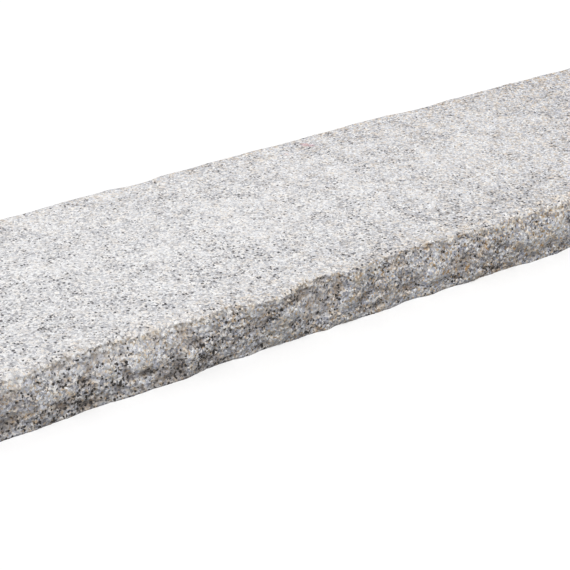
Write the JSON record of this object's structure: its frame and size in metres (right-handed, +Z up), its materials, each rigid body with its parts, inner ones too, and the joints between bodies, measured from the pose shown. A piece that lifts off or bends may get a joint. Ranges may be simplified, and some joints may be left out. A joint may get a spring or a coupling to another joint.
{
  "type": "granite coping slab",
  "caption": "Flat rectangular granite slab with a textured top, a flat bed, sawn ends and split, bulging long edges, laid along the top of a wall to cap it.",
  "frame": {"origin": "middle of the flat bed, in the plane that the slab lies on", "axes": "+X along the slab's length, +Y across it from the front split edge to the back one, +Z up through the top"},
  "size_m": [1, 0.3179, 0.06],
  "materials": {
    "granite": "flamed top, split long edges, sawn ends and bed"
  },
  "bodies": {
    "root": {"coping_slab": "granite"}
  },
  "joints": []
}
